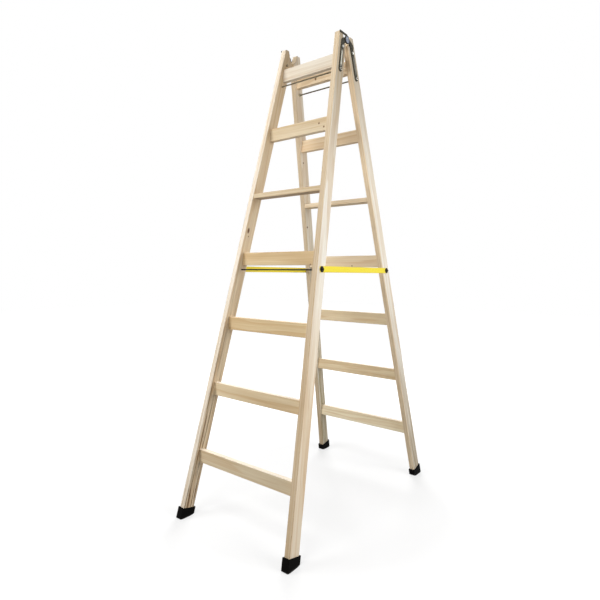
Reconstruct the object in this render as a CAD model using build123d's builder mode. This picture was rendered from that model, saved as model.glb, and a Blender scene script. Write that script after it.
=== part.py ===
"""Wooden double stepladder: two tapered seven-rung ladders, hinged at the top and held open by straps.

Millimetres. +Z is up and the floor is Z = 0. X runs along the rungs, Y from the front ladder to the
rear ladder, and the origin lies on the floor midway between the four feet. The ladder stands open.
"""

import os
from math import atan2, cos, radians, sin, tan

from build123d import *

# Stance of the opened ladder
pivot_height = 2036.0
lean_angle = 13.4
fold_gap = 2.0
floor_half_width = 302.0
taper_angle = 3.87

# Stiles: boards on edge, cut level at the top and notched round the hinge
stile_depth = 56.0
stile_thickness = 25.0
stile_rise = 24.0
stile_edge_bevel = 2.0
stile_top_radius = 8.0
notch_radius = 21.5
notch_side_angle = 30.0

# Rungs: boards on edge, set back in the stiles, and one of them laid flat
rung_count = 7
first_rung_level = 255.0
top_rung_drop = 95.5
rung_height = 56.0
rung_depth = 21.0
rung_setback = 4.0
flat_rung = 5
flat_rung_depth = 52.0
rung_edge_bevel = 1.5
tenon_shoulder = 5.0
tenon_length = 15.0
joinery_clearance = 0.2

# Tie rods, under the middle and the top rung
rod_radius = 3.0
top_rod_drop = 49.0
middle_rod_drop = 46.0
middle_rung = 4
rod_end = 2.0
collar_width = 14.0
collar_length = 7.0
collar_room = 2.0

# Nuts and the hinge bolts
nut_width = 10.0
nut_height = 5.0
nut_chamfer = 0.6
bolt_radius = 3.0
bolt_head_height = 4.0
hole_clearance = 0.3
thread_clearance = 0.05
seat_gap = 0.05

# Hinge leaves: a strap with a bead, a gooseneck and a round eye
leaf_width = 22.0
leaf_thickness = 2.5
hinge_bolt_drop = 51.0
bead_width = 9.0
bead_height = 2.2
bead_side_angle = 35.0
bead_wall = 1.8
bead_end_gap = 15.0
joggle_length = 9.0
neck_drop = 22.0
neck_bend_radius = 14.0
eye_radius = 17.0
eye_relief = 0.6
eye_gap = 0.3
arm_width = 9.0
arm_setback = 1.0

# Hinge pivots: headed rivets along X
pivot_radius = 4.0
pivot_clearance = 0.05
pivot_head_radius = 9.0
pivot_head_height = 4.0
pivot_head_angle = 35.0
pivot_head_gap = 0.1

# Limit straps and the washers that hold them
strap_width = 25.0
strap_thickness = 2.0
strap_tail = 11.0
strap_seat = 0.3
washer_radius = 12.0
washer_thickness = 2.0

# Feet: caps pushed on the stile ends, with a sole that curves up to both ends
foot_height = 39.5
foot_side_wall = 3.0
foot_end_wall = 7.0
foot_corner_bevel = 1.2
foot_sole = 10.0
sole_land = 26.0
sole_radius = 80.0
sole_sweep = 40.0

# Places that follow from the sizes above. A stile's outer face carries a plane whose X runs rearwards
# square to the ladder and whose Y runs up along the stile, both counted from the hinge axis.
lean = radians(lean_angle)
taper = radians(taper_angle)
facing_edge = -fold_gap / 2
front_edge = facing_edge - stile_depth
centre_line = facing_edge - stile_depth / 2
face_drop = (pivot_height - centre_line * sin(lean)) / cos(lean)
pivot_half_width = floor_half_width - face_drop * tan(taper)

outer_face = Plane(
    origin=(pivot_half_width, 0, pivot_height),
    x_dir=(0, cos(lean), -sin(lean)),
    z_dir=(cos(taper), sin(taper) * sin(lean), sin(taper) * cos(lean)),
)
inner_face = outer_face.offset(-stile_thickness)
eye_face = Plane(origin=(pivot_half_width + seat_gap, 0, pivot_height), x_dir=(0, 1, 0), z_dir=(1, 0, 0))


def station(level, across=centre_line):
    """How far along the stile, from the hinge axis, a place across it reaches a level above the floor."""
    return (level - pivot_height + across * sin(lean)) / (cos(lean) * cos(taper))


def on_face(along, lift=0.0):
    """A plane parallel to the stile's outer face, on its centre line and lifted off it outwards."""
    spot = outer_face.from_local_coords((centre_line, along, lift))
    return Plane(origin=spot, x_dir=outer_face.x_dir, z_dir=outer_face.z_dir)


def across_stile(along):
    """A plane square across the stile, centred in its section, whose X runs rearwards."""
    spot = outer_face.from_local_coords((centre_line, along, -stile_thickness / 2))
    return Plane(origin=spot, x_dir=outer_face.x_dir, z_dir=outer_face.y_dir)


def rung_level(number):
    """Height of a rung's middle above the floor, counted evenly from the lowest rung to the top one."""
    pitch = (pivot_height - top_rung_drop - first_rung_level) / (rung_count - 1)
    return first_rung_level + (number - 1) * pitch


def rung_section(number):
    """A rung's height and depth: all boards are alike, but one is laid flat and trimmed to the stiles."""
    if number == flat_rung:
        return rung_depth, flat_rung_depth
    return rung_height, rung_depth


def tenon_plane(number, lift):
    """The plane of a rung's tenon: parallel to the stile's inner face, with its X level."""
    across = centre_line if number == flat_rung else centre_line + rung_setback
    spot = inner_face.from_local_coords((across, station(rung_level(number), across), lift))
    return Plane(origin=spot, x_dir=(0, 1, 0), z_dir=inner_face.z_dir)


stile_top = pivot_height + stile_rise
top_rod_station = station(rung_level(rung_count) - top_rod_drop)
middle_rod_station = station(rung_level(middle_rung) - middle_rod_drop)
hinge_bolt_station = -hinge_bolt_drop
leaf_stack = seat_gap + leaf_thickness + seat_gap
strap_stack = strap_seat + strap_thickness + strap_seat + washer_thickness + seat_gap
eye_step = leaf_thickness + eye_gap


def save(part, name):
    part.label = name
    export_step(part, f"parts/{name}.step")


def save_both_ladders(part, name):
    """Write a front ladder's piece and its mirror image in the rear ladder."""
    save(mirror(part, about=Plane.XZ), f"rear_{name}")
    save(part, f"front_{name}")


def save_four_corners(part, name):
    """Write a front right piece and its three mirror images."""
    save_both_ladders(mirror(part, about=Plane.YZ), f"left_{name}")
    save_both_ladders(part, f"right_{name}")


def make_stile():
    """A board with a level, rounded and notched top, mortises for the rungs and holes for rods and bolt."""
    foot_end = station(0) - stile_depth
    notch_lean = radians(notch_side_angle)
    tangent = Vector(-notch_radius * cos(notch_lean), -notch_radius * sin(notch_lean))
    notch_top = tangent + Vector(-sin(notch_lean), cos(notch_lean)) * (notch_radius + 2 * stile_rise)
    with BuildPart() as stile:
        with BuildSketch(across_stile(foot_end)) as section:
            Rectangle(stile_depth, stile_thickness)
            chamfer(section.vertices(), stile_edge_bevel)
        extrude(amount=station(stile_top, 0) - foot_end)
        with BuildSketch(outer_face) as side:
            with BuildLine():
                Polyline(
                    (front_edge, foot_end),
                    (front_edge, station(stile_top, front_edge)),
                    (facing_edge, station(stile_top, facing_edge)),
                    (facing_edge, foot_end),
                    close=True,
                )
            make_face()
            fillet(side.vertices().group_by(Axis.X)[0].sort_by(Axis.Y)[-1], stile_top_radius)
            Circle(notch_radius, mode=Mode.SUBTRACT)
            with BuildLine():
                Polyline((0, tangent.Y), tangent, notch_top, (0, notch_top.Y), close=True)
            make_face(mode=Mode.SUBTRACT)
        extrude(amount=stile_thickness, both=True, mode=Mode.INTERSECT)
        split(bisect_by=Plane.XY.offset(foot_sole + joinery_clearance), keep=Keep.TOP)
        for number in range(1, rung_count + 1):
            height, depth = rung_section(number)
            with BuildSketch(tenon_plane(number, 0)):
                Rectangle(
                    depth - 2 * tenon_shoulder + 2 * joinery_clearance,
                    height - 2 * tenon_shoulder + 2 * joinery_clearance,
                )
            extrude(amount=tenon_length + joinery_clearance, mode=Mode.SUBTRACT)
        with Locations(on_face(middle_rod_station), on_face(top_rod_station)):
            Hole(rod_radius + hole_clearance, stile_thickness)
        with Locations(on_face(hinge_bolt_station)):
            Hole(bolt_radius + hole_clearance, stile_thickness)
    save_four_corners(stile.part, "stile")


def make_rung(number):
    """A level board, shouldered against the stiles' slanted inner faces, with a tenon at each end."""
    height, depth = rung_section(number)
    shoulder = tenon_plane(number, -joinery_clearance)
    with BuildPart() as rung:
        with Locations((0, shoulder.origin.Y, shoulder.origin.Z)):
            Box(floor_half_width, depth, height, align=(Align.MIN, Align.CENTER, Align.CENTER))
        chamfer(rung.edges().filter_by(Axis.X), rung_edge_bevel)
        split(bisect_by=shoulder, keep=Keep.BOTTOM)
        with BuildSketch(shoulder):
            Rectangle(depth - 2 * tenon_shoulder, height - 2 * tenon_shoulder)
        extrude(amount=tenon_length)
        mirror(about=Plane.YZ)
    save_both_ladders(rung.part, f"rung_{number}")


def make_tie_rod(name, along, stack):
    """A rod level between the stiles, its ends drawn square to the stiles' faces by the nuts."""
    reach = stack + nut_height + rod_end
    tip = on_face(along, reach)
    bend = on_face(along, -stile_thickness - collar_length - collar_room).origin
    with BuildPart() as rod:
        with BuildLine() as route:
            Polyline((0, bend.Y, bend.Z), bend, tip.origin)
        with BuildSketch(Plane(origin=(0, bend.Y, bend.Z), x_dir=(0, 1, 0), z_dir=(1, 0, 0))):
            Circle(rod_radius)
        sweep(path=route.line, transition=Transition.RIGHT)
        mirror(about=Plane.YZ)
    save_both_ladders(rod.part, f"{name}_tie_rod")


def make_nuts():
    """All nuts of one ladder: on the ends of both tie rods and on the hinge bolts."""
    seats = (
        (on_face(middle_rod_station, strap_stack), rod_radius),
        (on_face(top_rod_station, leaf_stack), rod_radius),
        (on_face(hinge_bolt_station, leaf_stack), bolt_radius),
    )
    with BuildPart() as nuts:
        for seat, thread_radius in seats:
            with BuildSketch(seat):
                RegularPolygon(nut_width / 2, 6, major_radius=False)
                Circle(thread_radius + thread_clearance, mode=Mode.SUBTRACT)
            extrude(amount=nut_height)
            rim = nuts.faces(Select.LAST).sort_by(Axis(seat.origin, seat.z_dir))[-1]
            chamfer(rim.outer_wire().edges(), nut_chamfer)
        mirror(about=Plane.YZ)
    save_both_ladders(nuts.part, "nuts")


def make_rod_collars():
    """One ladder's six-sided rod collars, against a stile's inner face at one end of each rod."""
    with BuildPart() as collars:
        for along in (middle_rod_station, top_rod_station):
            with BuildSketch(on_face(along, -stile_thickness - seat_gap)):
                RegularPolygon(collar_width / 2, 6, major_radius=False)
                Circle(rod_radius + thread_clearance, mode=Mode.SUBTRACT)
            extrude(amount=-collar_length)
    save(collars.part, "front_rod_collars")
    save(collars.part.rotate(Axis.Z, 180), "rear_rod_collars")


def make_hinge_bolts():
    """One ladder's hinge bolts: six-sided head on the stile's inner face, shank through stile and leaf."""
    head_seat = -stile_thickness - seat_gap
    with BuildPart() as bolts:
        with BuildSketch(on_face(hinge_bolt_station, head_seat)):
            RegularPolygon(nut_width / 2, 6, major_radius=False)
        extrude(amount=-bolt_head_height)
        with BuildSketch(on_face(hinge_bolt_station, head_seat)):
            Circle(bolt_radius)
        extrude(amount=leaf_stack + nut_height + rod_end - head_seat)
        mirror(about=Plane.YZ)
    save_both_ladders(bolts.part, "hinge_bolts")


def make_hinge_leaf(eye_lift, with_arm):
    """A pressed strap with a hollow bead, bent by a gooseneck to an eye that lies square to the pivot.

    eye_lift steps the neck and the eye outwards, so that the two leaves' eyes lie on each other.
    The arm runs level along the stile's top edge, from the eye to the front corner.
    """
    seat = outer_face.offset(seat_gap)
    neck_turn = atan2(-centre_line, neck_drop)
    step_end = -neck_drop - neck_bend_radius * tan(neck_turn / 2)
    step_start = step_end - joggle_length
    bead_length = hinge_bolt_station - top_rod_station - 2 * bead_end_gap
    bead_centre = (centre_line, (hinge_bolt_station + top_rod_station) / 2)
    eye_seat = eye_face.offset(eye_lift)
    arm_front = front_edge + arm_setback
    with BuildPart() as leaf:
        with BuildSketch(seat):
            with Locations((centre_line, top_rod_station)):
                Circle(leaf_width / 2)
                Rectangle(leaf_width, step_start - top_rod_station, align=(Align.CENTER, Align.MIN))
        extrude(amount=leaf_thickness)
        with BuildSketch(seat.offset(leaf_thickness)):
            with Locations(bead_centre):
                Rectangle(bead_width, bead_length)
        extrude(amount=bead_height, taper=bead_side_angle)
        with BuildSketch(seat):
            with Locations(bead_centre):
                Rectangle(bead_width - 2 * bead_wall, bead_length - 2 * bead_wall)
        extrude(amount=bead_height, mode=Mode.SUBTRACT)
        for along, lift in ((step_start, 0), (step_end, eye_lift)):
            middle = seat.from_local_coords((centre_line, along, lift + leaf_thickness / 2))
            with BuildSketch(Plane(origin=middle, x_dir=seat.x_dir, z_dir=seat.y_dir)):
                Rectangle(leaf_width, leaf_thickness)
        loft()
        with BuildSketch(seat.offset(eye_lift)):
            with BuildLine() as bow:
                FilletPolyline(
                    (centre_line, step_start),
                    (centre_line, -neck_drop),
                    (0, 0),
                    radius=neck_bend_radius,
                )
            SlotArc(bow.wire(), leaf_width)
            with Locations((centre_line, step_end)):
                Rectangle(
                    leaf_width,
                    joggle_length + leaf_width,
                    align=(Align.CENTER, Align.MAX),
                    mode=Mode.SUBTRACT,
                )
            if with_arm:
                with BuildLine() as arm:
                    Polyline(
                        (arm_front, station(stile_top, arm_front)),
                        (0, station(stile_top, 0)),
                        (0, station(stile_top - arm_width, 0)),
                        (arm_front, station(stile_top - arm_width, arm_front)),
                        close=True,
                    )
                make_face(arm.edges())
        extrude(amount=leaf_thickness)
        with BuildSketch(eye_seat):
            Circle(eye_radius + eye_relief)
        extrude(amount=-leaf_thickness, mode=Mode.SUBTRACT)
        with BuildSketch(eye_seat):
            Circle(eye_radius)
        extrude(amount=leaf_thickness)
        with BuildSketch(eye_seat.offset(leaf_thickness)):
            Circle(eye_radius + eye_relief)
        extrude(amount=leaf_thickness, mode=Mode.SUBTRACT)
        with Locations(eye_seat.offset(leaf_thickness)):
            Hole(pivot_radius + pivot_clearance, leaf_thickness)
        with Locations(on_face(top_rod_station, leaf_stack)):
            Hole(rod_radius + hole_clearance, leaf_stack)
        with Locations(on_face(hinge_bolt_station, leaf_stack)):
            Hole(bolt_radius + hole_clearance, leaf_stack)
    return leaf.part


def make_hinge_leaves():
    front = make_hinge_leaf(0, True)
    rear = mirror(make_hinge_leaf(eye_step, False), about=Plane.XZ)
    for ladder, leaf in (("front", front), ("rear", rear)):
        save(mirror(leaf, about=Plane.YZ), f"{ladder}_left_hinge_leaf")
        save(leaf, f"{ladder}_right_hinge_leaf")


def make_hinge_pivots():
    """Both pivots: a shank through the two eyes, with a tapered head at each end."""
    inner_seat = eye_face.offset(-pivot_head_gap)
    outer_seat = eye_face.offset(eye_step + leaf_thickness + pivot_head_gap)
    with BuildPart() as pivots:
        with BuildSketch(inner_seat):
            Circle(pivot_head_radius)
        extrude(amount=-pivot_head_height, taper=pivot_head_angle)
        with BuildSketch(outer_seat):
            Circle(pivot_head_radius)
        extrude(amount=pivot_head_height, taper=pivot_head_angle)
        with BuildSketch(inner_seat):
            Circle(pivot_radius)
        extrude(amount=outer_seat.origin.X - inner_seat.origin.X)
        mirror(about=Plane.YZ)
    save(pivots.part, "hinge_pivots")


def make_limit_straps():
    """Webbing drawn straight between the front and the rear stile on each outer side."""
    eyelet = on_face(middle_rod_station, strap_seat).origin
    strap_face = Plane(
        origin=(eyelet.X, 0, eyelet.Z),
        x_dir=(0, 1, 0),
        z_dir=(outer_face.z_dir.X, 0, outer_face.z_dir.Z),
    )
    with BuildPart() as strap:
        with BuildSketch(strap_face):
            Rectangle(2 * (abs(eyelet.Y) + strap_tail), strap_width)
            with Locations((eyelet.Y, 0), (-eyelet.Y, 0)):
                Circle(rod_radius + hole_clearance, mode=Mode.SUBTRACT)
        extrude(amount=strap_thickness)
    save(mirror(strap.part, about=Plane.YZ), "left_limit_strap")
    save(strap.part, "right_limit_strap")


def make_strap_washers():
    """One ladder's plate washers, between the straps and the middle rod's nuts."""
    seat = on_face(middle_rod_station, strap_stack - seat_gap - washer_thickness)
    with BuildPart() as washers:
        with BuildSketch(seat):
            Circle(washer_radius)
            Circle(rod_radius + hole_clearance, mode=Mode.SUBTRACT)
        extrude(amount=washer_thickness)
        mirror(about=Plane.YZ)
    save_both_ladders(washers.part, "strap_washers")


def make_foot():
    """A cap with its rim square to the stile, a socket for the stile, and a sole with a flat land.

    The sole curves up from the land to both ends, so that it rolls on the floor as the ladder opens.
    """
    rim = across_stile(station(foot_height))
    reach = foot_height + stile_depth
    middle = across_stile(station(0)).origin.Y
    with BuildPart() as socket:
        with BuildSketch(rim):
            Rectangle(stile_depth + 2 * joinery_clearance, stile_thickness + 2 * joinery_clearance)
        extrude(amount=-reach)
        split(bisect_by=Plane.XY.offset(foot_sole), keep=Keep.TOP)
    with BuildPart() as foot:
        with BuildSketch(rim) as outline:
            Rectangle(stile_depth + 2 * foot_end_wall, stile_thickness + 2 * foot_side_wall)
            chamfer(outline.vertices(), foot_corner_bevel)
        extrude(amount=-reach)
        with BuildSketch(Plane.YZ):
            with BuildLine():
                land = Line((middle - sole_land / 2, 0), (middle + sole_land / 2, 0))
                front_curve = JernArc(land @ 0, (-1, 0), sole_radius, -sole_sweep)
                rear_curve = JernArc(land @ 1, (1, 0), sole_radius, sole_sweep)
                Polyline(
                    rear_curve @ 1,
                    ((rear_curve @ 1).X, reach),
                    ((front_curve @ 1).X, reach),
                    front_curve @ 1,
                )
            make_face()
        extrude(amount=floor_half_width + stile_thickness, mode=Mode.INTERSECT)
        add(socket.part, mode=Mode.SUBTRACT)
    save_four_corners(foot.part, "foot")


os.makedirs("parts", exist_ok=True)
make_stile()
for rung_number in range(1, rung_count + 1):
    make_rung(rung_number)
make_tie_rod("middle", middle_rod_station, strap_stack)
make_tie_rod("top", top_rod_station, leaf_stack)
make_nuts()
make_rod_collars()
make_hinge_bolts()
make_hinge_leaves()
make_hinge_pivots()
make_limit_straps()
make_strap_washers()
make_foot()
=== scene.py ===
"""Looks of the wooden double stepladder: planed pine boards, galvanised hinges, blackened rods,
yellow limit straps and rubber feet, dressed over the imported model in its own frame."""
import math

import bpy
import numpy as np
from mathutils import Matrix, Vector


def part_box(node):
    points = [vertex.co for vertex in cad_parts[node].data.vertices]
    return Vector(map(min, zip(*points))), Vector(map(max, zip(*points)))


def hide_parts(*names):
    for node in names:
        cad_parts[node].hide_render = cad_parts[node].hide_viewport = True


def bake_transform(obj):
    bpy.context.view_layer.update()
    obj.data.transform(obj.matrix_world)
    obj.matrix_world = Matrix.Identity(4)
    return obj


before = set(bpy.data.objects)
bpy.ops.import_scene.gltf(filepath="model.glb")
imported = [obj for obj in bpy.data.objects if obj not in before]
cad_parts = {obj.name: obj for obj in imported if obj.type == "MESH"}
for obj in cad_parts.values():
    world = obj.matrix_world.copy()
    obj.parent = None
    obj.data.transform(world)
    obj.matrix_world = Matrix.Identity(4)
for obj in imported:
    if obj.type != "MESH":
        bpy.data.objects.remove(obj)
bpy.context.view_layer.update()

mm = 0.001
seed = 7
random = np.random.default_rng(seed)
stops_of_new_ramp = 2


# Helpers for colours, nodes and places
def colour(code):
    """Linear RGBA from an sRGB hex code: c / 12.92 up to 0.04045, else ((c + 0.055) / 1.055) ^ 2.4."""
    share = np.array([int(code[i:i + 2], 16) for i in (1, 3, 5)]) / 255
    linear = np.where(share <= 0.04045, share / 12.92, ((share + 0.055) / 1.055) ** 2.4)
    return (*linear.tolist(), 1.0)


def add(tree, kind, inputs=None, stops=(), **settings):
    """Adds a node to the tree, sets its properties and a ramp's stops, and links or sets each input."""
    made = tree.nodes.new(kind)
    for name, value in settings.items():
        setattr(made, name, value)
    for index, (place, code) in enumerate(stops):
        ramp = made.color_ramp.elements
        stop = ramp[index] if index < stops_of_new_ramp else ramp.new(place)
        stop.position = place
        stop.color = colour(code)
    for name, value in (inputs or {}).items():
        if isinstance(value, bpy.types.NodeSocket):
            tree.links.new(value, made.inputs[name])
        else:
            made.inputs[name].default_value = value
    return made


def new_material(name):
    """An empty node material, and the tree to fill."""
    made = bpy.data.materials.new(name)
    made.use_nodes = True
    made.node_tree.nodes.clear()
    return made, made.node_tree


def dress(node, material):
    """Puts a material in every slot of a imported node."""
    for place in node.material_slots:
        place.material = material


def middle_of(node):
    """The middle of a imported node's box."""
    return (np.array(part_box(node)[0]) + np.array(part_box(node)[1])) / 2


def board_axes(node):
    """A board's own axes along, across and through it. The sum of area * n * n^T over its faces' normals n
    has the normals of the ends, the edges and the wide faces as its eigenvectors, in this order. The first
    two are turned so that their largest part is positive, and the third completes them."""
    mesh = node.data
    normals, areas = np.empty(3 * len(mesh.polygons)), np.empty(len(mesh.polygons))
    mesh.polygons.foreach_get("normal", normals)
    mesh.polygons.foreach_get("area", areas)
    normals = normals.reshape(-1, 3)
    axes = np.linalg.eigh((normals.T * areas) @ normals)[1].T
    largest = np.take_along_axis(axes, np.abs(axes).argmax(1)[:, None], 1)
    axes *= np.sign(largest)
    axes[2] = np.cross(axes[0], axes[1])
    return axes


def board_reach(node, axes):
    """A board's middle and its half length, half width and half thickness along its own axes."""
    points = np.empty(3 * len(node.data.vertices))
    node.data.vertices.foreach_get("co", points)
    points = points.reshape(-1, 3) @ axes.T
    return (points.max(0) + points.min(0)) / 2, (points.max(0) - points.min(0)) / 2


# Planed pine: pale cream early wood, soft warm late-wood lines along each board, a few pin knots, darker
# sawn ends, brown or grey streaks on the stiles' lower ends that are partly stain and partly painted shade,
# wide faces darkened towards the top by painted shade beside the hinge, and arrises that hands have browned
# and polished.
# Real rings are about 4 mm apart and fibres under 1 mm wide: both are drawn coarser, to show from 2 m
ring_gap = 9 * mm
ring_wander = 30 * mm
ring_tones = ((0.0, "#FFFFFF"), (1.0, "#FFFFFF"), (0.4, "#FDFCFA"), (0.84, "#F3EADF"), (0.93, "#F3EADF"))
fibre_width = 4 * mm
fibre_length = 220 * mm
fibre_low, fibre_high = 0.3, 0.7
fibre_tones = ((fibre_low, "#F0EBE4"), (fibre_high, "#FFFFFF"))
fibre_relief = 0.4 * mm
patch_width = 45 * mm
patch_length = 620 * mm
patch_tones = ((0.35, "#F1EBE3"), (0.65, "#FFFFFF"))
noise_middle = (0.5, 0.5, 0.5)
# Where a board's heart line lies: how far along its trunk, how far to a side and how far below, in metres
trunk_length = 40
heart_aside = 0.04
heart_near, heart_far = 0.06, 0.12
# A surface looks squarely along an axis where the cosine between them is over this
squarely = 0.8
sawn_tone = "#D8C3A2"
knot_tone = "#6E4B30"
# A knot fades in between these two ways from its middle, counted in its half length and half width
knot_rim, knot_core = 1.3, 0.6
# Heights in metres between which painted shade darkens the stiles' wide faces towards the top, and the
# shares of the lower stain and painted shade, and of the upper painted shade, that edges take
top_shade_from, top_shade_full = 1.4, 1.95
top_shade_tone = "#C0B8AA"
stain_and_shade_on_edges, top_shade_on_edges = 0.25, 0.0
# Wear of the arrises, between two ways from them that are counted in reaches
arris_reach = 3 * mm
arris_from, arris_full = 1.2, 0.4
arris_tone = "#E3D5BF"
arris_polish = 0.18
pine_rough, pine_smooth = 0.7, 0.58


def looks_along(tree, normal, axis):
    """1 where the surface looks squarely along one of the board's axes, and 0 elsewhere."""
    part = add(tree, "ShaderNodeVectorMath", {0: normal, 1: axis.tolist()},
               operation="DOT_PRODUCT").outputs["Value"]
    size = add(tree, "ShaderNodeMath", {0: part}, operation="ABSOLUTE").outputs["Value"]
    return add(tree, "ShaderNodeMath", {0: size, 1: squarely}, operation="GREATER_THAN").outputs["Value"]


def growth_rings(tree, board, noise):
    """Rises from 0 to 1 through each ring: the distance from the heart line, bent by slow noise and counted
    in rings, without the whole ones."""
    sway = add(tree, "ShaderNodeVectorMath", {0: noise, 1: noise_middle},
               operation="SUBTRACT").outputs["Vector"]
    bent = add(tree, "ShaderNodeVectorMath", {0: sway, 1: (0, ring_wander, ring_wander), 2: board},
               operation="MULTIPLY_ADD").outputs["Vector"]
    across = add(tree, "ShaderNodeVectorMath", {0: bent, 1: (0, 1, 1)},
                 operation="MULTIPLY").outputs["Vector"]
    reach = add(tree, "ShaderNodeVectorMath", {0: across}, operation="LENGTH").outputs["Value"]
    count = add(tree, "ShaderNodeMath", {0: reach, 1: ring_gap}, operation="DIVIDE").outputs["Value"]
    return add(tree, "ShaderNodeMath", {0: count}, operation="FRACT").outputs["Value"]


def stain_and_shade_layers(tree, place, fibre, wide, stain_and_shade):
    """The darkening of a stile's lower end, partly stain and partly painted shade, in streaks along its
    fibres, and the painted shade on its upper end beside the hinge: shares that grow from one height to
    another, and are smaller on the edges."""
    stain_and_shade_top, stain_and_shade_full, stain_and_shade_tone, streak_from, streak_full, top_shade_share = stain_and_shade
    height = add(tree, "ShaderNodeSeparateXYZ", {"Vector": place}).outputs["Z"]
    streaky = add(tree, "ShaderNodeMapRange", {
        "Value": fibre, "From Min": streak_from, "From Max": streak_full}).outputs["Result"]
    low = add(tree, "ShaderNodeMapRange", {
        "Value": height, "From Min": stain_and_shade_top, "From Max": stain_and_shade_full}).outputs["Result"]
    high = add(tree, "ShaderNodeMapRange", {
        "Value": height, "From Min": top_shade_from, "From Max": top_shade_full,
        "To Max": top_shade_share}).outputs["Result"]
    stained_and_shaded = add(tree, "ShaderNodeMath", {0: low, 1: streaky}, operation="MULTIPLY").outputs["Value"]
    layers = []
    for share, tone, on_edges in ((stained_and_shaded, stain_and_shade_tone, stain_and_shade_on_edges),
                                  (high, top_shade_tone, top_shade_on_edges)):
        taken = add(tree, "ShaderNodeMapRange", {"Value": wide, "To Min": on_edges}).outputs["Result"]
        share = add(tree, "ShaderNodeMath", {0: share, 1: taken}, operation="MULTIPLY").outputs["Value"]
        layers.append((share, colour(tone), "MULTIPLY"))
    return layers


def knot_layer(tree, board, heart, knot):
    """A pin knot: an ellipse on the board with a soft rim, from its place along and across the board, its
    half length and its half width in millimetres."""
    along, over, half_length, half_width = knot
    place = heart + np.array([along, over, 0]) * mm
    off = add(tree, "ShaderNodeVectorMath", {0: board, 1: place.tolist()},
              operation="SUBTRACT").outputs["Vector"]
    per_half = (1 / (half_length * mm), 1 / (half_width * mm), 0)
    ellipse = add(tree, "ShaderNodeVectorMath", {0: off, 1: per_half},
                  operation="MULTIPLY").outputs["Vector"]
    rim = add(tree, "ShaderNodeVectorMath", {0: ellipse}, operation="LENGTH").outputs["Value"]
    share = add(tree, "ShaderNodeMapRange", {"Value": rim, "From Min": knot_rim, "From Max": knot_core},
                interpolation_type="SMOOTHSTEP").outputs["Result"]
    return share, colour(knot_tone), "MIX"


def arris_wear(tree, board, middle, half, noise):
    """1 on the arrises, fading out beside them. Each point's depths below the three pairs of faces, summed
    without the largest, give its way to an arris, which slow noise frays."""
    off = add(tree, "ShaderNodeVectorMath", {0: board, 1: middle.tolist()},
              operation="SUBTRACT").outputs["Vector"]
    off = add(tree, "ShaderNodeVectorMath", {0: off}, operation="ABSOLUTE").outputs["Vector"]
    depth = add(tree, "ShaderNodeVectorMath", {0: half.tolist(), 1: off},
                operation="SUBTRACT").outputs["Vector"]
    part = add(tree, "ShaderNodeSeparateXYZ", {"Vector": depth}).outputs
    deeper = add(tree, "ShaderNodeMath", {0: part["X"], 1: part["Y"]}, operation="MAXIMUM").outputs["Value"]
    deepest = add(tree, "ShaderNodeMath", {0: deeper, 1: part["Z"]}, operation="MAXIMUM").outputs["Value"]
    total = add(tree, "ShaderNodeVectorMath", {0: depth, 1: (1, 1, 1)},
                operation="DOT_PRODUCT").outputs["Value"]
    to_arris = add(tree, "ShaderNodeMath", {0: total, 1: deepest}, operation="SUBTRACT").outputs["Value"]
    frayed = add(tree, "ShaderNodeMath", {0: to_arris, 1: 1 / arris_reach, 2: noise},
                 operation="MULTIPLY_ADD").outputs["Value"]
    return add(tree, "ShaderNodeMapRange", {
        "Value": frayed, "From Min": arris_from, "From Max": arris_full}).outputs["Result"]


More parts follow.
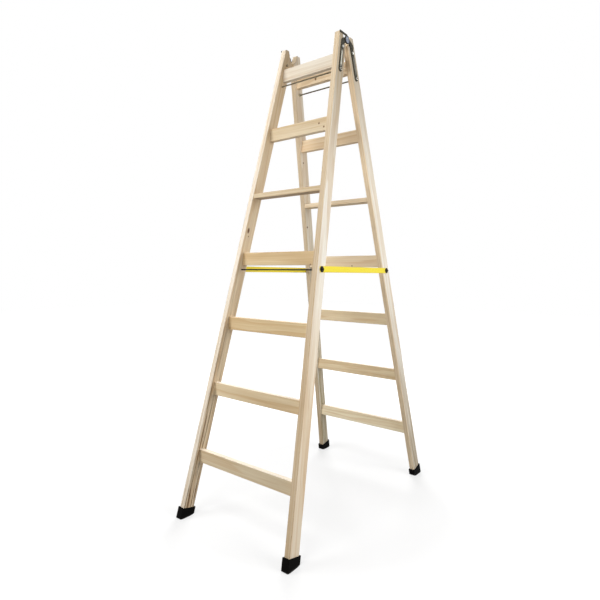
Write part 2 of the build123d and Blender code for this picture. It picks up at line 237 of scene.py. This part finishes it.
def planed_pine(name, node, face, edge, stain_and_shade, knots):
    """Growth rings round a heart line that lies beside the board, under fibres, patches, stains and painted
    shade, knots, sawn ends and worn arrises. All are layers of colour, laid over the edges' tone in the
    board's own axes."""
    material, tree = new_material(name)
    axes = board_axes(node)
    heart = np.array([random.uniform(0, trunk_length), random.uniform(-heart_aside, heart_aside),
                      random.uniform(heart_near, heart_far)])
    shift = heart - axes @ middle_of(node.name)
    middle, half = board_reach(node, axes)
    where = add(tree, "ShaderNodeTexCoord").outputs
    board = add(tree, "ShaderNodeMapping", {
        "Vector": where["Object"], "Location": shift.tolist(),
        "Rotation": Matrix(axes.tolist()).to_euler()}).outputs["Vector"]
    in_patches, in_fibres = (
        add(tree, "ShaderNodeVectorMath", {0: board, 1: (1 / length, 1 / width, 1 / width)},
            operation="MULTIPLY").outputs["Vector"]
        for length, width in ((patch_length, patch_width), (fibre_length, fibre_width)))
    patch = add(tree, "ShaderNodeTexNoise", {"Vector": in_patches, "Scale": 1.0, "Detail": 2.0}).outputs
    fibre = add(tree, "ShaderNodeTexNoise", {
        "Vector": in_fibres, "Scale": 1.0, "Detail": 4.0, "Roughness": 0.6}).outputs["Fac"]
    wide = looks_along(tree, where["Normal"], axes[2])
    sawn = looks_along(tree, where["Normal"], axes[0])
    worn = arris_wear(tree, board, middle + shift, half, patch["Fac"])
    ring = growth_rings(tree, board, patch["Color"])

    layers = [(wide, colour(face), "MIX")]
    for value, tones in ((ring, ring_tones), (fibre, fibre_tones), (patch["Fac"], patch_tones)):
        figure = add(tree, "ShaderNodeValToRGB", {"Fac": value}, tones).outputs["Color"]
        layers.append((1.0, figure, "MULTIPLY"))
    if stain_and_shade:
        layers += stain_and_shade_layers(tree, where["Object"], fibre, wide, stain_and_shade)
    layers += [knot_layer(tree, board, heart, knot) for knot in knots]
    layers += [(sawn, colour(sawn_tone), "MULTIPLY"), (worn, colour(arris_tone), "MULTIPLY")]
    tone = colour(edge)
    for share, over, how in layers:
        tone = add(tree, "ShaderNodeMix", {"Factor": share, "A": tone, "B": over}, data_type="RGBA",
                   blend_type=how).outputs["Result"]

    sheen = add(tree, "ShaderNodeMapRange", {
        "Value": fibre, "From Min": fibre_low, "From Max": fibre_high,
        "To Min": pine_rough, "To Max": pine_smooth}).outputs["Result"]
    polish = add(tree, "ShaderNodeMath", {0: worn, 1: -arris_polish, 2: sheen},
                 operation="MULTIPLY_ADD").outputs["Value"]
    relief = add(tree, "ShaderNodeBump", {
        "Height": fibre, "Strength": 0.15, "Distance": fibre_relief}).outputs["Normal"]
    surface = add(tree, "ShaderNodeBsdfPrincipled", {
        "Base Color": tone, "Roughness": polish, "Normal": relief, "IOR": 1.4})
    add(tree, "ShaderNodeOutputMaterial", {"Surface": surface.outputs["BSDF"]})
    return material


# Tones of the boards: wide faces and edges, mostly the wood's own. On the stiles, tan is painted shade on the
# front right and rear left edges, and chalk is whitened as a painted sheen of the lamps on the right stiles'
# wide faces
pine_tones = {
    "white": "#F0EADE", "chalk": "#EEEBE3", "ivory": "#F7ECD0", "grey": "#E6E0D4", "cream": "#ECDCC1",
    "straw": "#E4D3B2", "sand": "#DCCDB0", "tan": "#D5C6AD", "honey": "#DCC69D", "fawn": "#B8A284",
}
boards = {
    "front_left_stile": ("cream", "white"),
    "front_right_stile": ("chalk", "tan"),
    "rear_left_stile": ("white", "tan"),
    "rear_right_stile": ("chalk", "cream"),
    "front_rung_1": ("sand", "white"),
    "front_rung_2": ("straw", "white"),
    "front_rung_3": ("honey", "cream"),
    "front_rung_4": ("honey", "cream"),
    "front_rung_5": ("fawn", "sand"),
    "front_rung_6": ("sand", "cream"),
    "front_rung_7": ("grey", "white"),
    "rear_rung_1": ("ivory", "white"),
    "rear_rung_2": ("straw", "white"),
    "rear_rung_3": ("straw", "white"),
    "rear_rung_4": ("cream", "white"),
    "rear_rung_5": ("straw", "cream"),
    "rear_rung_6": ("cream", "cream"),
    "rear_rung_7": ("cream", "cream"),
}
# How the stiles have darkened: the heights where the stain and painted shade of their lower ends start and
# where they are full, their colour, the fibre values where their streaks start and where they are full, and
# the share of the painted shade towards the top
stain_and_shade_by_stile = {
    "front_left_stile": (1.15, 0.05, "#7E5C2C", 0.475, 0.43, 0.3),
    # The front right stile's pale warm veil low down, with its whitened face tone, is painted light: the
    # lamps' sheen as a whiter middle over a warmer lower end
    "front_right_stile": (1.1, 0.55, "#FFE7C2", 1.0, 0.0, 1.0),
    "rear_left_stile": (1.5, 0.65, "#BCB99E", 0.6, 0.4, 0.0),
    "rear_right_stile": (1.05, 0.2, "#B6A994", 0.75, 0.4, 0.75),
}
# Pin knots, from each board's middle: place along and across, half length and half width in millimetres
board_knots = {
    "front_left_stile": ((193, -3, 13, 6), (168, 4, 3, 3)),
    "rear_left_stile": ((569, -22, 4, 4), (250, -25, 5, 5)),
    "front_rung_4": ((172, -25, 3, 3),),
    "front_rung_6": ((110, 6, 4, 4), (135, -12, 4, 4)),
    "rear_rung_4": ((56, -22, 4, 3),),
    "rear_rung_7": ((-31, -8, 5, 6),),
}
for name, (face, edge) in boards.items():
    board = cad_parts[name]
    dress(board, planed_pine("planed_pine_" + name, board, pine_tones[face], pine_tones[edge],
                             stain_and_shade_by_stile.get(name), board_knots.get(name, ())))


# Steel: dull olive galvanising on the hinge leaves, darkened as a painted dark reflection, with a painted
# highlight along the bead and a painted bluish reflection round the pivot; bright zinc on nuts and bolts,
# whose cut ends on the stiles' inner side are painted brownish grey as shade; blackened rods and washers,
# each mottled by the crystals of its coat.
# Crystals of such thin coats are under 1 mm wide: they are drawn 4 to 6 mm wide, to show
# Noise values of the darkest and the lightest crystals, and of the roughest and the smoothest
crystal_range = (0.35, 0.65)
dull_low, dull_high = 0.3, 0.7
rougher, smoother = 0.08, 0.06


def coat_crystals(tree, grain):
    """The model's coordinates, and noise of the grain's size that stands for the crystals of a coat."""
    where = add(tree, "ShaderNodeTexCoord").outputs["Object"]
    return where, add(tree, "ShaderNodeTexNoise", {
        "Vector": where, "Scale": 1 / grain, "Detail": 3.0}).outputs["Fac"]


def steel(name, light, dark, grain, roughness, dark_coat_and_shade=None):
    """Plated steel: two greys in patches of crystals, rougher where the plating is duller. With an axis, a
    reach and a colour, what lies nearer the origin along that axis than the reach takes the colour: painted
    shade on the bolts' cut ends inside the stiles, and the dark coat of the middle rods' nuts."""
    material, tree = new_material(name)
    where, crystal = coat_crystals(tree, grain)
    grey = add(tree, "ShaderNodeValToRGB", {"Fac": crystal},
               zip(crystal_range, (dark, light))).outputs["Color"]
    if dark_coat_and_shade:
        axis, reach, code = dark_coat_and_shade
        place = add(tree, "ShaderNodeSeparateXYZ", {"Vector": where}).outputs[axis]
        away = add(tree, "ShaderNodeMath", {0: place}, operation="ABSOLUTE").outputs["Value"]
        nearer = add(tree, "ShaderNodeMath", {0: away, 1: reach}, operation="LESS_THAN").outputs["Value"]
        grey = add(tree, "ShaderNodeMix", {"Factor": nearer, "A": grey, "B": colour(code)},
                   data_type="RGBA").outputs["Result"]
    dull = add(tree, "ShaderNodeMapRange", {
        "Value": crystal, "From Min": dull_low, "From Max": dull_high,
        "To Min": roughness + rougher, "To Max": roughness - smoother}).outputs["Result"]
    surface = add(tree, "ShaderNodeBsdfPrincipled", {"Base Color": grey, "Metallic": 1.0, "Roughness": dull})
    add(tree, "ShaderNodeOutputMaterial", {"Surface": surface.outputs["BSDF"]})
    return material


def blackened_steel(name, light, dark, grain):
    """Steel under a matt coat of black oxide: two dark browns in patches, with next to no shine."""
    material, tree = new_material(name)
    crystal = coat_crystals(tree, grain)[1]
    brown = add(tree, "ShaderNodeValToRGB", {"Fac": crystal}, zip(crystal_range, (dark, light)))
    surface = add(tree, "ShaderNodeBsdfPrincipled", {
        "Base Color": brown.outputs["Color"], "Roughness": 0.55, "Specular IOR Level": 0.15})
    add(tree, "ShaderNodeOutputMaterial", {"Surface": surface.outputs["BSDF"]})
    return material


# The leaf's dark greys paint a dark reflection; the light greys along the bead are a painted highlight, and
# the bluish grey round the pivot's eye is a painted reflection
leaf_crystal = 5 * mm
leaf_tones = ("#2B2921", "#4A473C")
leaf_rough = 0.5
highlight_tones = ("#A9A698", "#CFCCC0")
highlight_rough = 0.32
highlight_half_width = 4 * mm
highlight_end_gap = 14 * mm
highlight_rim, highlight_core = 1.1, 0.7
eye_reflection_radius = 15 * mm
eye_reflection_rim, eye_reflection_core = 1.0, 0.7
eye_reflection_tone = "#8F96A6"


def highlighted_leaf_steel(name, ladder, highlight_share):
    """Galvanised hinge leaf in dark greys that paint a dark reflection, with a painted highlight along its
    raised bead by a share and a painted bluish reflection round the pivot's eye. The bead runs on the line
    from the hinge bolt to the rod's end: with the way along it and off it counted from its middle, the
    highlight fills the rectangle max(|along| / half length, |off| / half width) < 1 and fades out at its rim.
    The eye is the cylinder of that radius round the pivot's axis."""
    material, tree = new_material(name)
    bolt, rod = middle_of(ladder + "_hinge_bolts"), middle_of(ladder + "_top_tie_rod")
    along = (rod - bolt) / np.linalg.norm(rod - bolt)
    axes = np.array([along, np.cross((1, 0, 0), along), (1, 0, 0)])
    half_length = np.linalg.norm(rod - bolt) / 2 - highlight_end_gap
    where, crystal = coat_crystals(tree, leaf_crystal)
    leaf = add(tree, "ShaderNodeMapping", {
        "Vector": where, "Location": (-axes @ (bolt + rod) / 2).tolist(),
        "Rotation": Matrix(axes.tolist()).to_euler()}).outputs["Vector"]
    share = add(tree, "ShaderNodeVectorMath", {0: leaf, 1: (1 / half_length, 1 / highlight_half_width, 0)},
                operation="MULTIPLY").outputs["Vector"]
    share = add(tree, "ShaderNodeVectorMath", {0: share}, operation="ABSOLUTE").outputs["Vector"]
    part = add(tree, "ShaderNodeSeparateXYZ", {"Vector": share}).outputs
    rim = add(tree, "ShaderNodeMath", {0: part["X"], 1: part["Y"]}, operation="MAXIMUM").outputs["Value"]
    bead_highlight = add(tree, "ShaderNodeMapRange", {
        "Value": rim, "From Min": highlight_rim, "From Max": highlight_core, "To Max": highlight_share}).outputs["Result"]
    off = add(tree, "ShaderNodeVectorMath", {0: where, 1: middle_of("hinge_pivots").tolist()},
              operation="SUBTRACT").outputs["Vector"]
    off = add(tree, "ShaderNodeVectorMath", {0: off, 1: (0, 1 / eye_reflection_radius, 1 / eye_reflection_radius)},
              operation="MULTIPLY").outputs["Vector"]
    reach = add(tree, "ShaderNodeVectorMath", {0: off}, operation="LENGTH").outputs["Value"]
    eye = add(tree, "ShaderNodeMapRange", {
        "Value": reach, "From Min": eye_reflection_rim, "From Max": eye_reflection_core}).outputs["Result"]
    dull, highlight_grey = (
        add(tree, "ShaderNodeValToRGB", {"Fac": crystal}, zip(crystal_range, tones)).outputs["Color"]
        for tones in (leaf_tones, highlight_tones))
    # Painted highlight along the bead, then painted bluish reflection round the eye
    grey = dull
    for share, over in ((bead_highlight, highlight_grey), (eye, colour(eye_reflection_tone))):
        grey = add(tree, "ShaderNodeMix", {"Factor": share, "A": grey, "B": over},
                   data_type="RGBA").outputs["Result"]
    rough = add(tree, "ShaderNodeMapRange", {
        "Value": bead_highlight, "To Min": leaf_rough, "To Max": highlight_rough}).outputs["Result"]
    surface = add(tree, "ShaderNodeBsdfPrincipled", {"Base Color": grey, "Metallic": 1.0, "Roughness": rough})
    add(tree, "ShaderNodeOutputMaterial", {"Surface": surface.outputs["BSDF"]})
    return material


# Moulded rubber: near black and matt, with a fine pebbled skin from the mould, scuffed grey by the floor.
# Real pebbles are under 0.5 mm wide: they are drawn coarser, to show
pebble_size = 2 * mm
pebble_relief = 0.3 * mm
pebble_tones = ((0.3, "#060505"), (0.7, "#0C0B0A"))
scuff_height = 8 * mm
scuff_tone = "#4A4845"


def moulded_rubber(name):
    """Two near blacks and a low relief by noise of the pebbles' size, greyer in scuffs near the floor."""
    material, tree = new_material(name)
    where = add(tree, "ShaderNodeTexCoord").outputs["Object"]
    pebble = add(tree, "ShaderNodeTexNoise", {
        "Vector": where, "Scale": 1 / pebble_size, "Detail": 2.0}).outputs["Fac"]
    black = add(tree, "ShaderNodeValToRGB", {"Fac": pebble}, pebble_tones).outputs["Color"]
    height = add(tree, "ShaderNodeSeparateXYZ", {"Vector": where}).outputs["Z"]
    low = add(tree, "ShaderNodeMapRange", {
        "Value": height, "From Min": scuff_height, "From Max": 0.0}).outputs["Result"]
    scuff = add(tree, "ShaderNodeMath", {0: low, 1: pebble}, operation="MULTIPLY").outputs["Value"]
    black = add(tree, "ShaderNodeMix", {"Factor": scuff, "A": black, "B": colour(scuff_tone)},
                data_type="RGBA").outputs["Result"]
    relief = add(tree, "ShaderNodeBump", {
        "Height": pebble, "Strength": 0.2, "Distance": pebble_relief}).outputs["Normal"]
    surface = add(tree, "ShaderNodeBsdfPrincipled", {
        "Base Color": black, "Roughness": 0.7, "Specular IOR Level": 0.03, "Normal": relief})
    add(tree, "ShaderNodeOutputMaterial", {"Surface": surface.outputs["BSDF"]})
    return material


# The bolts' cut ends on the inner side of the stile's middle are painted brownish grey as shade, and the
# nuts of the middle rods, which lie below the height half-way between the rods, are darker
half_stile = 12.5 * mm
bolt_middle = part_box("front_right_hinge_leaf")[0][0] - half_stile
between_rods = (middle_of("front_top_tie_rod")[2] + middle_of("front_middle_tie_rod")[2]) / 2
finishes = {
    "front_left_hinge_leaf": highlighted_leaf_steel("galvanised_front_leaf_steel", "front", 1.0),
    "rear_left_hinge_leaf": highlighted_leaf_steel("galvanised_rear_leaf_steel", "rear", 0.35),
    "hinge_pivots": steel("galvanised_pivot_steel", "#979CA6", "#70757F", 6 * mm, 0.35),
    "hinge_bolts": steel("zinc_plated_bolt_steel", "#DADAD7", "#B4B4B0", 4 * mm, 0.3,
                         ("X", bolt_middle, "#8A7B66")),
    "nuts": steel("zinc_plated_nut_steel", "#F0F0EC", "#CFCFCB", 4 * mm, 0.28,
                  ("Z", between_rods, "#4A463C")),
    "top_tie_rod": blackened_steel("weathered_rod_steel", "#7A6F58", "#544C3B", 5 * mm),
    "middle_tie_rod": blackened_steel("blackened_rod_steel", "#15120C", "#0A0906", 5 * mm),
    "front_rod_collars": blackened_steel("blackened_collar_steel", "#332E22", "#1E1A13", 5 * mm),
    "rear_rod_collars": steel("worn_collar_steel", "#C8C2AE", "#A39C88", 5 * mm, 0.45),
    "strap_washers": blackened_steel("blackened_washer_steel", "#1F1D1A", "#100F0D", 4 * mm),
    "foot": moulded_rubber("moulded_rubber"),
}
finishes["front_right_hinge_leaf"] = finishes["front_left_hinge_leaf"]
finishes["rear_right_hinge_leaf"] = finishes["rear_left_hinge_leaf"]
for name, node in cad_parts.items():
    for ending, finish in finishes.items():
        if name.endswith(ending):
            dress(node, finish)


# Polyester webbing: bright yellow yarns woven in close ribs across the band, lighter on their crests and
# darker between them as painted light and shade, with a soft sheen and a tighter selvedge along both sides,
# slightly darker partly as painted shade along the band's edges. Real ribs are about 1 mm apart: they are
# drawn coarser, to show. The wave node has 20 radians to a unit
rib_gap = 2 * mm
rib_relief = 0.4 * mm
one_wave = math.tau / 20
# Yarn tones: lighter on the crests as painted light, darker between the ribs as painted shade; the edge tone
# is partly a tighter weave and partly painted shade
yarn_light_and_shade_tones = ((0.1, "#E1C914"), (0.7, "#F5E438"))
selvedge_and_shade_from, selvedge_and_shade_full = 0.78, 0.92
selvedge_and_shade_tone = "#DCC41C"


def polyester_webbing(name):
    """Ribs by waves across the band on its own map, which counts ribs along it and half widths across it:
    lighter on their crests and darker between them as painted light and shade, and darker where the way
    across nears 1, along the band's edges, partly as a tighter weave and partly as painted shade."""
    material, tree = new_material(name)
    weave = add(tree, "ShaderNodeUVMap", uv_map="weave").outputs["UV"]
    rib = add(tree, "ShaderNodeTexWave", {
        "Vector": weave, "Scale": one_wave, "Distortion": 1.2, "Detail": 2.0, "Detail Scale": 3.0},
        bands_direction="X").outputs["Fac"]
    across = add(tree, "ShaderNodeSeparateXYZ", {"Vector": weave}).outputs["Y"]
    across = add(tree, "ShaderNodeMath", {0: across}, operation="ABSOLUTE").outputs["Value"]
    selvedge_and_shade = add(tree, "ShaderNodeMapRange", {
        "Value": across, "From Min": selvedge_and_shade_from, "From Max": selvedge_and_shade_full}).outputs["Result"]
    yarn = add(tree, "ShaderNodeValToRGB", {"Fac": rib}, yarn_light_and_shade_tones).outputs["Color"]
    yarn = add(tree, "ShaderNodeMix", {"Factor": selvedge_and_shade, "A": yarn, "B": colour(selvedge_and_shade_tone)},
               data_type="RGBA").outputs["Result"]
    relief = add(tree, "ShaderNodeBump", {
        "Height": rib, "Strength": 0.5, "Distance": rib_relief}).outputs["Normal"]
    surface = add(tree, "ShaderNodeBsdfPrincipled", {
        "Base Color": yarn, "Roughness": 0.7, "Sheen Weight": 0.2, "Normal": relief})
    add(tree, "ShaderNodeOutputMaterial", {"Surface": surface.outputs["BSDF"]})
    return material


# Limit straps: flat bands with rounded selvedges, drawn straight between their two bolts
band_half_width = 12.5 * mm
band_half_thickness = 0.9 * mm
band_drift = 0.6 * mm
band_steps = 160
band_sides = 24
rise_power = 0.25
swell_power = 0.6


def limit_strap(side, webbing):
    """A band over its length s from 0 to 1 and round its section t. The section is a superellipse with the
    half width w and the half thickness h: w * |sin t|^0.25 up the band and h * |cos t|^0.6 off it, with
    their signs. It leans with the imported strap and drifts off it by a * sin(2 pi s), as slack webbing
    does."""
    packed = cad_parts[side + "_limit_strap"]
    middle = middle_of(packed.name)
    along, up, off = board_axes(packed)
    tails = np.array(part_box(packed.name)[1]) - np.array(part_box(packed.name)[0])
    s = np.linspace(0, 1, band_steps)[:, None, None]
    t = np.linspace(0, 2 * math.pi, band_sides, endpoint=False)[None, :, None]
    rise = band_half_width * np.sign(np.sin(t)) * np.abs(np.sin(t)) ** rise_power
    swell = band_half_thickness * np.sign(np.cos(t)) * np.abs(np.cos(t)) ** swell_power
    points = middle + (s - 0.5) * tails[1] * along + rise * up
    points = (points + (swell + band_drift * np.sin(2 * math.pi * s)) * off).reshape(-1, 3)
    index = np.arange(band_steps * band_sides).reshape(band_steps, band_sides)
    following = np.roll(index, -1, axis=1)
    walls = np.stack([index[:-1], following[:-1], following[1:], index[1:]], -1).reshape(-1, 4)
    mesh = bpy.data.meshes.new(side + "_webbing")
    mesh.from_pydata(points.tolist(), [], walls.tolist() + [index[0, ::-1].tolist(), index[-1].tolist()])
    corner = np.empty(len(mesh.loops), dtype=np.int64)
    mesh.loops.foreach_get("vertex_index", corner)
    on_map = (points[corner] - middle) @ np.array([along / rib_gap, up / band_half_width]).T
    mesh.uv_layers.new(name="weave").data.foreach_set("uv", on_map.ravel())
    mesh.shade_smooth()
    mesh.materials.append(webbing)
    made = bpy.data.objects.new(mesh.name, mesh)
    bpy.context.scene.collection.objects.link(made)
    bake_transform(made)
    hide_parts(packed.name)


webbing = polyester_webbing("polyester_webbing")
for side in ("left", "right"):
    limit_strap(side, webbing)


# Pale studio paper: matt, white without an edge, and softly grey only where the ladder shades it. Its glow
# grows with the way from the middle, between two reaches in metres
floor_reach = 12.0
shade_reach = 0.6
white_reach = 1.8
shade_glow = 0.64
paper_tone = "#8C8C8C"


def seen_directly(tree):
    """1 for rays that show the background to the eye, straight, in a reflection or through glass."""
    rays = add(tree, "ShaderNodeLightPath").outputs
    seen = add(tree, "ShaderNodeMath", {0: rays["Is Camera Ray"], 1: rays["Is Glossy Ray"]},
               operation="MAXIMUM").outputs["Value"]
    return add(tree, "ShaderNodeMath", {0: seen, 1: rays["Is Transmission Ray"]},
               operation="MAXIMUM").outputs["Value"]


def studio_floor():
    """A square of pale paper that glows for the eye, so that its lit part is white and its shadow stays."""
    corners = floor_reach * np.array([(-1, -1, 0), (1, -1, 0), (1, 1, 0), (-1, 1, 0)], float)
    mesh = bpy.data.meshes.new("floor")
    mesh.from_pydata(corners.tolist(), [], [(0, 1, 2, 3)])
    made = bpy.data.objects.new("floor", mesh)
    bpy.context.scene.collection.objects.link(made)
    material, tree = new_material("pale_studio_paper")
    where = add(tree, "ShaderNodeTexCoord").outputs["Object"]
    away = add(tree, "ShaderNodeVectorMath", {0: where}, operation="LENGTH").outputs["Value"]
    glow = add(tree, "ShaderNodeMapRange", {
        "Value": away, "From Min": shade_reach, "From Max": white_reach,
        "To Min": shade_glow, "To Max": 1.0}).outputs["Result"]
    strength = add(tree, "ShaderNodeMath", {0: seen_directly(tree), 1: glow},
                   operation="MULTIPLY").outputs["Value"]
    paper = add(tree, "ShaderNodeBsdfDiffuse", {"Color": colour(paper_tone)}).outputs["BSDF"]
    white = add(tree, "ShaderNodeEmission", {"Strength": strength}).outputs["Emission"]
    both = add(tree, "ShaderNodeAddShader", {0: paper, 1: white}).outputs["Shader"]
    add(tree, "ShaderNodeOutputMaterial", {"Surface": both})
    mesh.materials.append(material)


studio_floor()

# Lights and camera: a white background that lights the ladder only a little, and four lamps
ambient = 0.05
scene = bpy.context.scene
world = bpy.data.worlds.new("studio")
scene.world = world
world.use_nodes = True
world.node_tree.nodes.clear()
level = add(world.node_tree, "ShaderNodeMapRange", {
    "Value": seen_directly(world.node_tree), "To Min": ambient, "To Max": 1.0}).outputs["Result"]
sky = add(world.node_tree, "ShaderNodeBackground", {"Color": colour("#FFFFFF"), "Strength": level})
add(world.node_tree, "ShaderNodeOutputWorld", {"Surface": sky.outputs["Background"]})

# Each lamp's place and side in metres, and its watts
softboxes = {
    "front_softbox": ((0.3, -2.2, 4.4), 1.4, 97.0),
    "left_softbox": ((-1.6, -2.4, 1.7), 1.4, 56.0),
    "right_softbox": ((2.5, 0.1, 1.5), 1.6, 59.0),
    "rear_softbox": ((-1.6, 2.6, 2.4), 1.6, 125.0),
}
aim = Vector((0.0, 0.0, 1.0))
for name, (place, size, watts) in softboxes.items():
    lamp = bpy.data.lights.new(name, "AREA")
    lamp.size = size
    lamp.energy = watts
    holder = bpy.data.objects.new(name, lamp)
    holder.location = place
    holder.rotation_euler = (aim - Vector(place)).to_track_quat("-Z", "Y").to_euler()
    holder.visible_camera = False
    scene.collection.objects.link(holder)

image_side = 600
focal_pixels = 475.4655
camera_place = Vector((1.3013, -1.7719, 1.0344))
yaw, pitch, roll = 0.6624, -0.0556, 0.0089
forward = Vector((-math.sin(yaw) * math.cos(pitch), math.cos(yaw) * math.cos(pitch), math.sin(pitch)))
level_right = Vector((math.cos(yaw), math.sin(yaw), 0))
level_up = level_right.cross(forward)
right = math.cos(roll) * level_right + math.sin(roll) * level_up
up = math.cos(roll) * level_up - math.sin(roll) * level_right
lens = bpy.data.cameras.new("camera")
lens.sensor_width = 36
lens.lens = focal_pixels / image_side * lens.sensor_width
camera = bpy.data.objects.new("camera", lens)
turn = Matrix((right, up, -forward)).transposed().to_4x4()
camera.matrix_world = Matrix.Translation(camera_place) @ turn
scene.collection.objects.link(camera)
scene.camera = camera
scene.view_settings.view_transform = "Standard"
